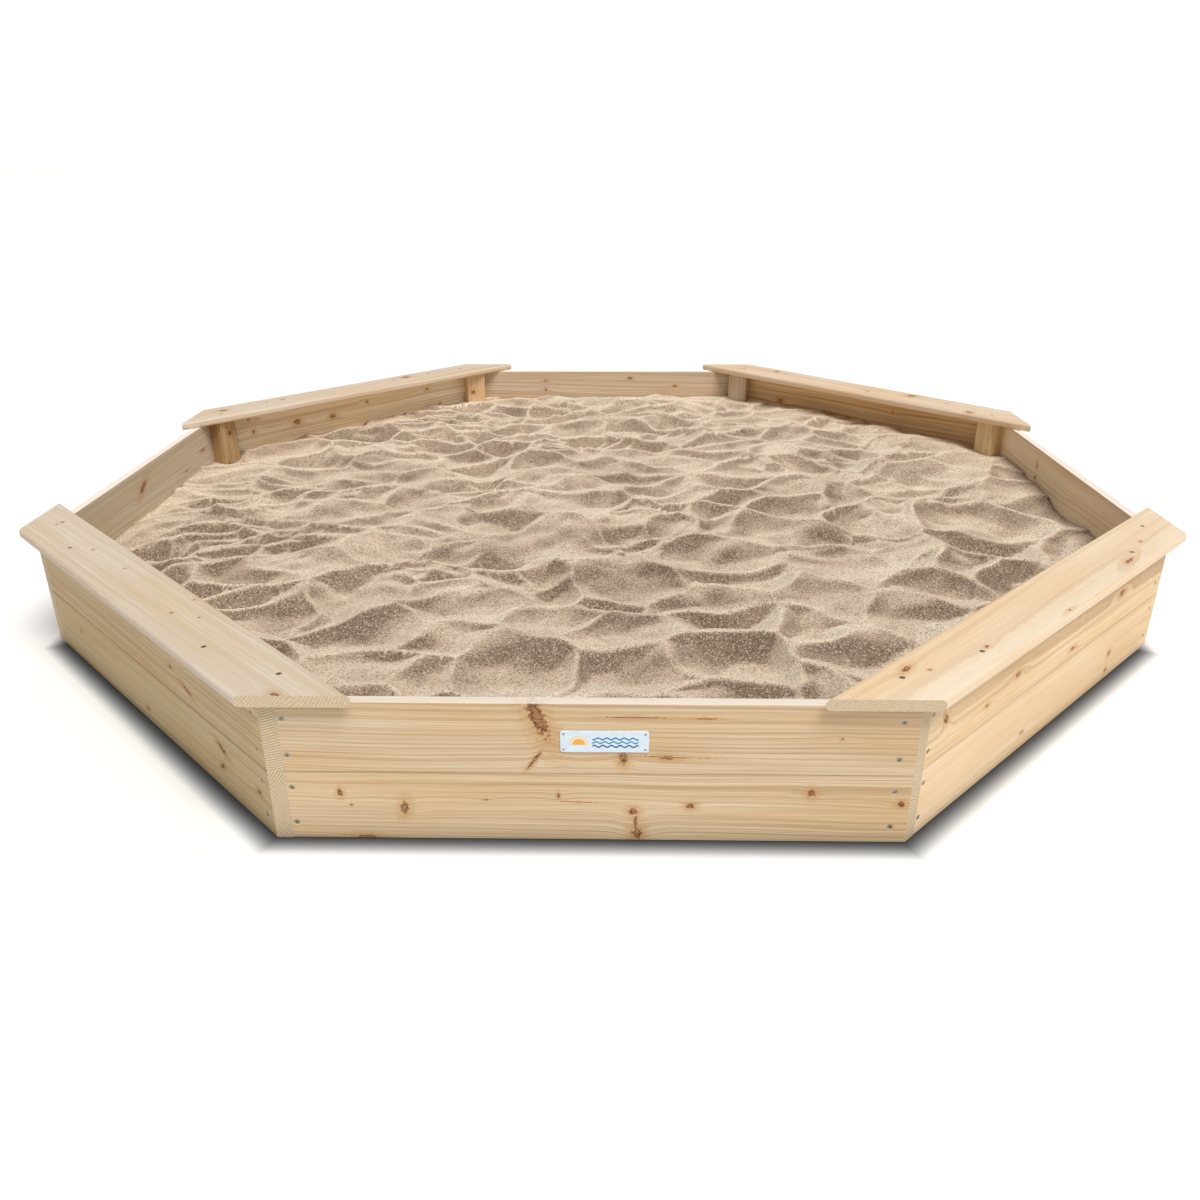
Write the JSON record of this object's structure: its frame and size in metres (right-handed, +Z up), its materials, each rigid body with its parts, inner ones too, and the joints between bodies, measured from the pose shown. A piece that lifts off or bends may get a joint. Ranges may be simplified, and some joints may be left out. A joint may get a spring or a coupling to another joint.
{
  "type": "octagonal wooden sandbox",
  "caption": "Low eight-sided wooden sandbox with corner seat boards on alternate walls, a small plate on the front and a filling of play sand.",
  "frame": {"origin": "on the ground, at the middle of the sandpit", "axes": "+Z up; the front wall, with the plate, faces -Y; +X is to the right seen from the front"},
  "size_m": [1.866, 1.866, 0.205],
  "materials": {
    "pine_wall": "matte",
    "pine_post": "matte",
    "pine_seat": "matte",
    "screw_steel": "satin",
    "pin_steel": "satin",
    "printed_plate": "satin",
    "play_sand": "matte",
    "liner_fabric": "matte"
  },
  "bodies": {
    "root": {"corner_post_back_left_to_back": "pine_post", "corner_post_back_right_to_right": "pine_post", "corner_post_back_to_back_right": "pine_post", "corner_post_front_left_to_left": "pine_post", "corner_post_front_right_to_front": "pine_post", "corner_post_front_to_front_left": "pine_post", "corner_post_left_to_back_left": "pine_post", "corner_post_right_to_front_right": "pine_post", "ground_liner": "liner_fabric", "name_plate": "printed_plate", "name_plate_pins": "pin_steel", "sand_fill": "play_sand", "seat_board_back_left": "pine_seat", "seat_board_back_right": "pine_seat", "seat_board_front_left": "pine_seat", "seat_board_front_right": "pine_seat", "seat_screws": "screw_steel", "wall_board_back_left_lower": "pine_wall", "wall_board_back_left_upper": "pine_wall", "wall_board_back_lower": "pine_wall", "wall_board_back_right_lower": "pine_wall", "wall_board_back_right_upper": "pine_wall", "wall_board_back_upper": "pine_wall", "wall_board_front_left_lower": "pine_wall", "wall_board_front_left_upper": "pine_wall", "wall_board_front_lower": "pine_wall", "wall_board_front_right_lower": "pine_wall", "wall_board_front_right_upper": "pine_wall", "wall_board_front_upper": "pine_wall", "wall_board_left_lower": "pine_wall", "wall_board_left_upper": "pine_wall", "wall_board_right_lower": "pine_wall", "wall_board_right_upper": "pine_wall", "wall_screws": "screw_steel"}
  },
  "joints": []
}
